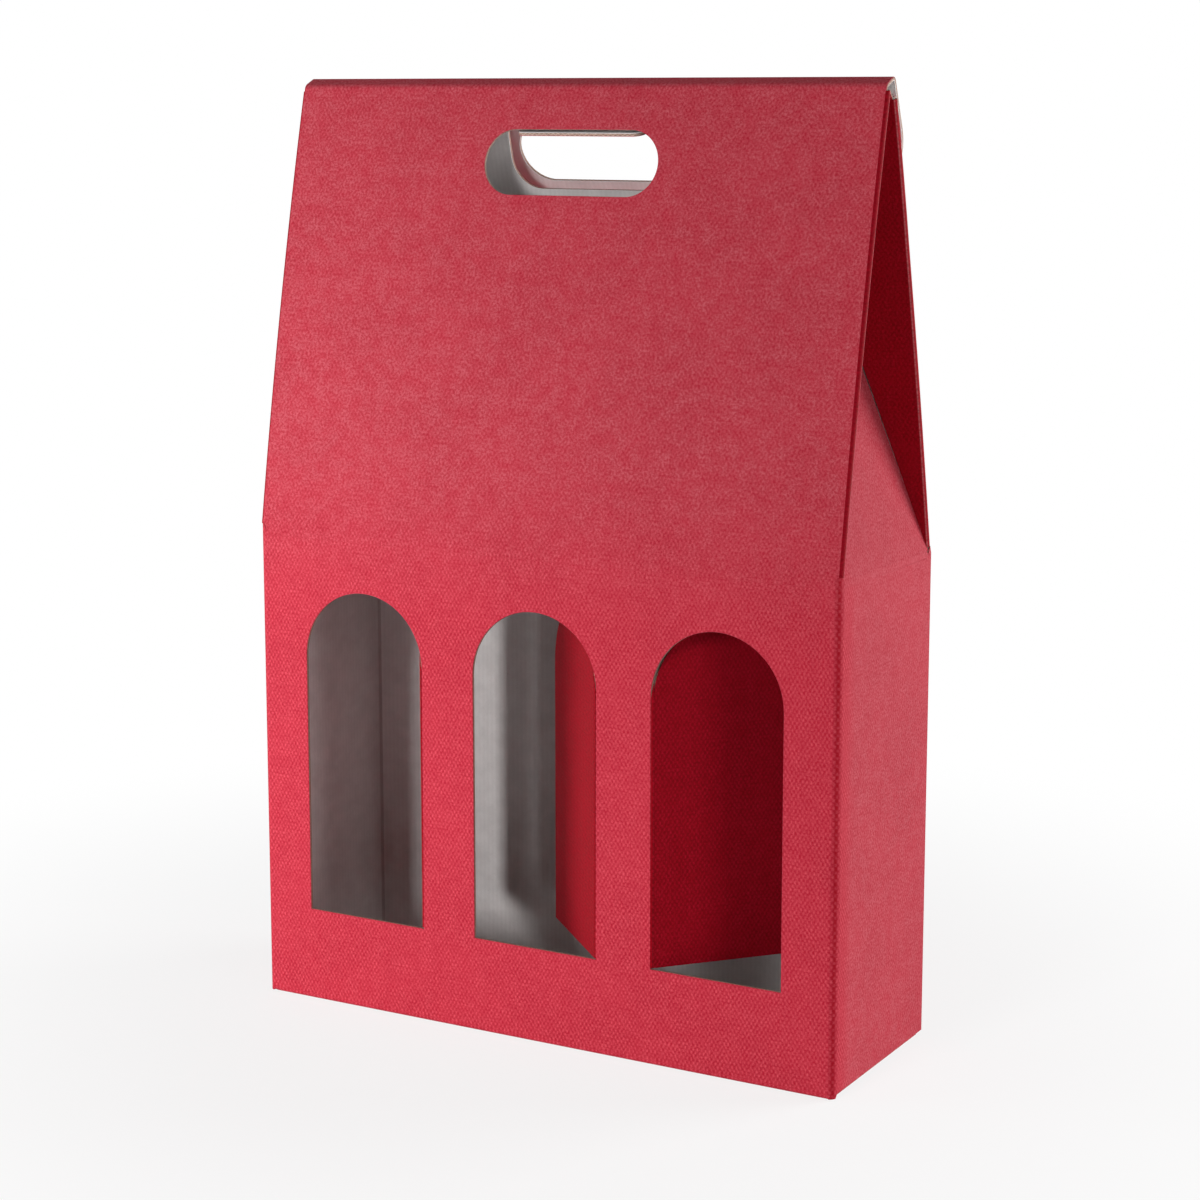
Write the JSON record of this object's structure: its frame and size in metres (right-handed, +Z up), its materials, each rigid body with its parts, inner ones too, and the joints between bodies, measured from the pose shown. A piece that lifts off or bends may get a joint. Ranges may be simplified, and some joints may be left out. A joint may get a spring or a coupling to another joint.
{
  "type": "wine gift box",
  "caption": "Gable-topped corrugated gift box for wine bottles, with arched windows, fold-in dividers, bellows gussets and a hand-hole closing flap.",
  "frame": {"origin": "centre of the box's footprint, on the surface it stands on", "axes": "+Z up towards the ridge, -Y out of the windowed front wall, +X to the right as seen from the front"},
  "size_m": [0.27, 0.088, 0.3923],
  "materials": {
    "printed_board": "matt red print with a fine pale lattice on micro-flute board, grey liner inside",
    "liner_board": "matt grey liner on micro-flute board"
  },
  "bodies": {
    "sleeve": {"front_wall": "printed_board", "back_wall": "printed_board", "left_side_wall": "printed_board", "right_side_wall": "printed_board", "glue_seam_flap": "liner_board", "bottom_front_flap": "liner_board", "bottom_back_flap": "liner_board", "bottom_left_flap": "liner_board", "bottom_right_flap": "liner_board", "bottom_front_glue_corner": "liner_board", "bottom_back_glue_corner": "liner_board"},
    "front_roof": {"front_roof_panel": "printed_board"},
    "back_roof": {"back_roof_panel": "printed_board"},
    "ridge": {"ridge_strip": "printed_board"},
    "flap": {"closing_flap": "printed_board"},
    "tongue": {"locking_tongue": "printed_board"},
    "left_gusset": {"left_gusset_centre": "printed_board"},
    "left_gusset_front_flank": {"left_gusset_front_flank": "printed_board"},
    "left_gusset_back_flank": {"left_gusset_back_flank": "printed_board"},
    "right_gusset": {"right_gusset_centre": "printed_board"},
    "right_gusset_front_flank": {"right_gusset_front_flank": "printed_board"},
    "right_gusset_back_flank": {"right_gusset_back_flank": "printed_board"},
    "left_divider": {"left_divider_flap": "printed_board"},
    "middle_divider": {"middle_divider_flap": "printed_board"},
    "right_divider": {"right_divider_flap": "printed_board"}
  },
  "joints": [
    {"name": "roof_opening", "type": "hinge", "parent": "sleeve", "child": "front_roof", "pos_m": [0, -0.04325, 0.203], "axis": [1, 0, 0], "range_deg": [0, 11.24]},
    {"name": "back_roof_opening", "type": "hinge", "parent": "sleeve", "child": "back_roof", "pos_m": [0, 0.04325, 0.203], "axis": [-1, 0, 0], "range_deg": [0, 12.54]},
    {"name": "ridge_fold", "type": "hinge", "parent": "front_roof", "child": "ridge", "pos_m": [0, -0.0063, 0.38897], "axis": [1, 0, 0], "range_deg": [0, 100.1]},
    {"name": "flap_lift", "type": "hinge", "parent": "ridge", "child": "flap", "pos_m": [0, 0.00033, 0.39202], "axis": [1, 0, 0], "range_deg": [0, 145.1]},
    {"name": "tongue_fold", "type": "hinge", "parent": "flap", "child": "tongue", "pos_m": [0, 0.00852, 0.3743], "axis": [1, 0, 0], "range_deg": [0, 104.5]},
    {"name": "left_gusset_opening", "type": "hinge", "parent": "sleeve", "child": "left_gusset", "pos_m": [-0.13425, 0, 0.203], "axis": [0, -1, 0], "range_deg": [0, 15.59]},
    {"name": "left_front_flank_opening", "type": "hinge", "parent": "front_roof", "child": "left_gusset_front_flank", "pos_m": [-0.1335, -0.04251, 0.20285], "axis": [0, 0.1949, 0.9808], "range_deg": [0, 72.28]},
    {"name": "left_back_flank_opening", "type": "hinge", "parent": "back_roof", "child": "left_gusset_back_flank", "pos_m": [-0.1335, 0.04252, 0.20284], "axis": [0, 0.2163, -0.9763], "range_deg": [0, 76.89]},
    {"name": "right_gusset_opening", "type": "hinge", "parent": "sleeve", "child": "right_gusset", "pos_m": [0.13425, 0, 0.203], "axis": [0, 1, 0], "range_deg": [0, 15.59]},
    {"name": "right_front_flank_opening", "type": "hinge", "parent": "front_roof", "child": "right_gusset_front_flank", "pos_m": [0.1335, -0.04251, 0.20285], "axis": [0, -0.1949, -0.9808], "range_deg": [0, 72.28]},
    {"name": "right_back_flank_opening", "type": "hinge", "parent": "back_roof", "child": "right_gusset_back_flank", "pos_m": [0.1335, 0.04252, 0.20284], "axis": [0, -0.2163, 0.9763], "range_deg": [0, 76.89]},
    {"name": "left_divider_swing", "type": "hinge", "parent": "sleeve", "child": "left_divider", "pos_m": [-0.05385, -0.0425, 0], "axis": [0, 0, -1], "range_deg": [-75, 15]},
    {"name": "middle_divider_swing", "type": "hinge", "parent": "sleeve", "child": "middle_divider", "pos_m": [0.02895, -0.0425, 0], "axis": [0, 0, -1], "range_deg": [-43.8, 46.2]},
    {"name": "right_divider_swing", "type": "hinge", "parent": "sleeve", "child": "right_divider", "pos_m": [0.05385, -0.0425, 0], "axis": [0, 0, 1], "range_deg": [-49, 41]}
  ],
  "couplings": [
    {"joint": "back_roof_opening", "follows": "roof_opening", "ratio": 1.1114},
    {"joint": "ridge_fold", "follows": "roof_opening", "ratio": 8.8968},
    {"joint": "flap_lift", "follows": "roof_opening", "ratio": 12.9},
    {"joint": "left_gusset_opening", "follows": "roof_opening", "ratio": 1.3822},
    {"joint": "left_front_flank_opening", "follows": "roof_opening", "ratio": 6.4264},
    {"joint": "left_back_flank_opening", "follows": "roof_opening", "ratio": 6.8361},
    {"joint": "right_gusset_opening", "follows": "roof_opening", "ratio": 1.3822},
    {"joint": "right_front_flank_opening", "follows": "roof_opening", "ratio": 6.4264},
    {"joint": "right_back_flank_opening", "follows": "roof_opening", "ratio": 6.8361}
  ]
}
